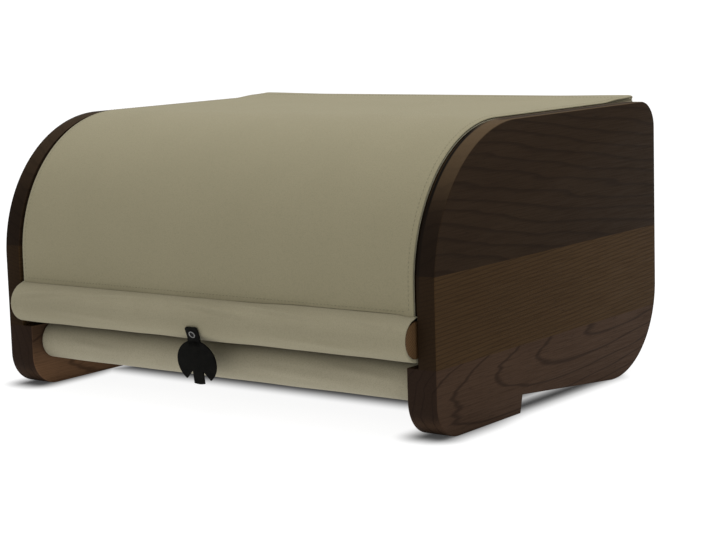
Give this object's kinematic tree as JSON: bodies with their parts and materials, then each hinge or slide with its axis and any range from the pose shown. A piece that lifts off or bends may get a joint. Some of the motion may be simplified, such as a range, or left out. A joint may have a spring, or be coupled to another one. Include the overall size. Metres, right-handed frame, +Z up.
{
  "type": "tambour lid box",
  "caption": "Low wooden box with solid side panels and a flexible cloth cover that curves over the front and folds back over the top, lifted by a leather pull tab on a round bar.",
  "frame": {"origin": "centre of the bounding box in X and Y, on the plane the feet stand on", "axes": "+Z up, +X towards the right side panel, -Y towards the front with the pull tab"},
  "size_m": [0.4, 0.3192, 0.2091],
  "materials": {
    "board_wood": "dark stained, open-grained, satin",
    "dowel_wood": "plain oiled",
    "cover_cloth": "fine coated canvas, matt",
    "lining_cloth": "plain woven, matt",
    "slat_wood": "plain thin strips",
    "tab_leather": "black, fine grained",
    "steel": "brushed",
    "eyelet_metal": "nickel plated"
  },
  "bodies": {
    "carcass": {"left_board_low": "board_wood", "left_board_middle": "board_wood", "left_board_high": "board_wood", "right_board_low": "board_wood", "right_board_middle": "board_wood", "right_board_high": "board_wood", "bottom_board": "board_wood", "back_board": "board_wood", "top_board": "board_wood", "dowel_pins": "dowel_wood", "rail_dowel": "dowel_wood", "rail_wrap": "cover_cloth", "fixed_cloth": "cover_cloth", "fixed_slats": "slat_wood", "fixed_lining": "lining_cloth", "clamp_strip": "steel", "clamp_screws": "steel"},
    "section_1": {"cloth_1": "cover_cloth", "slat_1": "slat_wood", "lining_1": "lining_cloth"},
    "section_2": {"cloth_2": "cover_cloth", "slat_2": "slat_wood", "lining_2": "lining_cloth"},
    "section_3": {"cloth_3": "cover_cloth", "slat_3": "slat_wood", "lining_3": "lining_cloth"},
    "section_4": {"cloth_4": "cover_cloth", "slat_4": "slat_wood", "lining_4": "lining_cloth"},
    "section_5": {"cloth_5": "cover_cloth", "slat_5": "slat_wood", "lining_5": "lining_cloth"},
    "section_6": {"cloth_6": "cover_cloth", "slat_6": "slat_wood", "lining_6": "lining_cloth"},
    "section_7": {"cloth_7": "cover_cloth", "slat_7": "slat_wood", "lining_7": "lining_cloth"},
    "section_8": {"cloth_8": "cover_cloth", "slat_8": "slat_wood", "lining_8": "lining_cloth"},
    "section_9": {"cloth_9": "cover_cloth", "slat_9": "slat_wood", "lining_9": "lining_cloth"},
    "bar": {"bar_dowel": "dowel_wood", "bar_wrap": "cover_cloth", "tab_rivet": "eyelet_metal"},
    "tab": {"pull_tab": "tab_leather"}
  },
  "joints": [
    {"name": "lift_1", "type": "hinge", "parent": "carcass", "child": "section_1", "pos_m": [0, -0.03862, 0.20695], "axis": [-1, 0, 0], "range_deg": [0, 64.6]},
    {"name": "lift_2", "type": "hinge", "parent": "section_1", "child": "section_2", "pos_m": [0, -0.05362, 0.20588], "axis": [-1, 0, 0], "range_deg": [0, 68.72]},
    {"name": "lift_3", "type": "hinge", "parent": "section_2", "child": "section_3", "pos_m": [0, -0.06831, 0.20267], "axis": [-1, 0, 0], "range_deg": [0, 70.75]},
    {"name": "lift_4", "type": "hinge", "parent": "section_3", "child": "section_4", "pos_m": [0, -0.08907, 0.19406], "axis": [-1, 0, 0], "range_deg": [0, 12.29]},
    {"name": "lift_5", "type": "hinge", "parent": "section_4", "child": "section_5", "pos_m": [0, -0.10752, 0.18124], "axis": [-1, 0, 0], "range_deg": [0, 12.29]},
    {"name": "lift_6", "type": "hinge", "parent": "section_5", "child": "section_6", "pos_m": [0, -0.12282, 0.16479], "axis": [-1, 0, 0], "range_deg": [0, 12.29]},
    {"name": "lift_7", "type": "hinge", "parent": "section_6", "child": "section_7", "pos_m": [0, -0.13428, 0.14546], "axis": [-1, 0, 0], "range_deg": [0, 12.29]},
    {"name": "lift_8", "type": "hinge", "parent": "section_7", "child": "section_8", "pos_m": [0, -0.14138, 0.12414], "axis": [-1, 0, 0], "range_deg": [0, 12.29]},
    {"name": "lift_9", "type": "hinge", "parent": "section_8", "child": "section_9", "pos_m": [0, -0.14377, 0.1018], "axis": [-1, 0, 0], "range_deg": [0, 6.15]},
    {"name": "bar_hang", "type": "hinge", "parent": "section_9", "child": "bar", "pos_m": [0, -0.14377, 0.083], "axis": [-1, 0, 0], "range_deg": [0, 6.02]},
    {"name": "tab_swivel", "type": "hinge", "parent": "bar", "child": "tab", "pos_m": [0, -0.1558, 0.05896], "axis": [0, -0.8572, -0.515], "range_deg": [-20, 20]}
  ],
  "couplings": [
    {"joint": "lift_2", "follows": "lift_1", "ratio": 1.0635},
    {"joint": "lift_3", "follows": "lift_1", "ratio": 1.0949},
    {"joint": "lift_4", "follows": "lift_1", "ratio": 0.18994},
    {"joint": "lift_5", "follows": "lift_1", "ratio": 0.18994},
    {"joint": "lift_6", "follows": "lift_1", "ratio": 0.18994},
    {"joint": "lift_7", "follows": "lift_1", "ratio": 0.18994},
    {"joint": "lift_8", "follows": "lift_1", "ratio": 0.18994},
    {"joint": "lift_9", "follows": "lift_1", "ratio": 0.094892},
    {"joint": "bar_hang", "follows": "lift_1", "ratio": 0.092879}
  ]
}
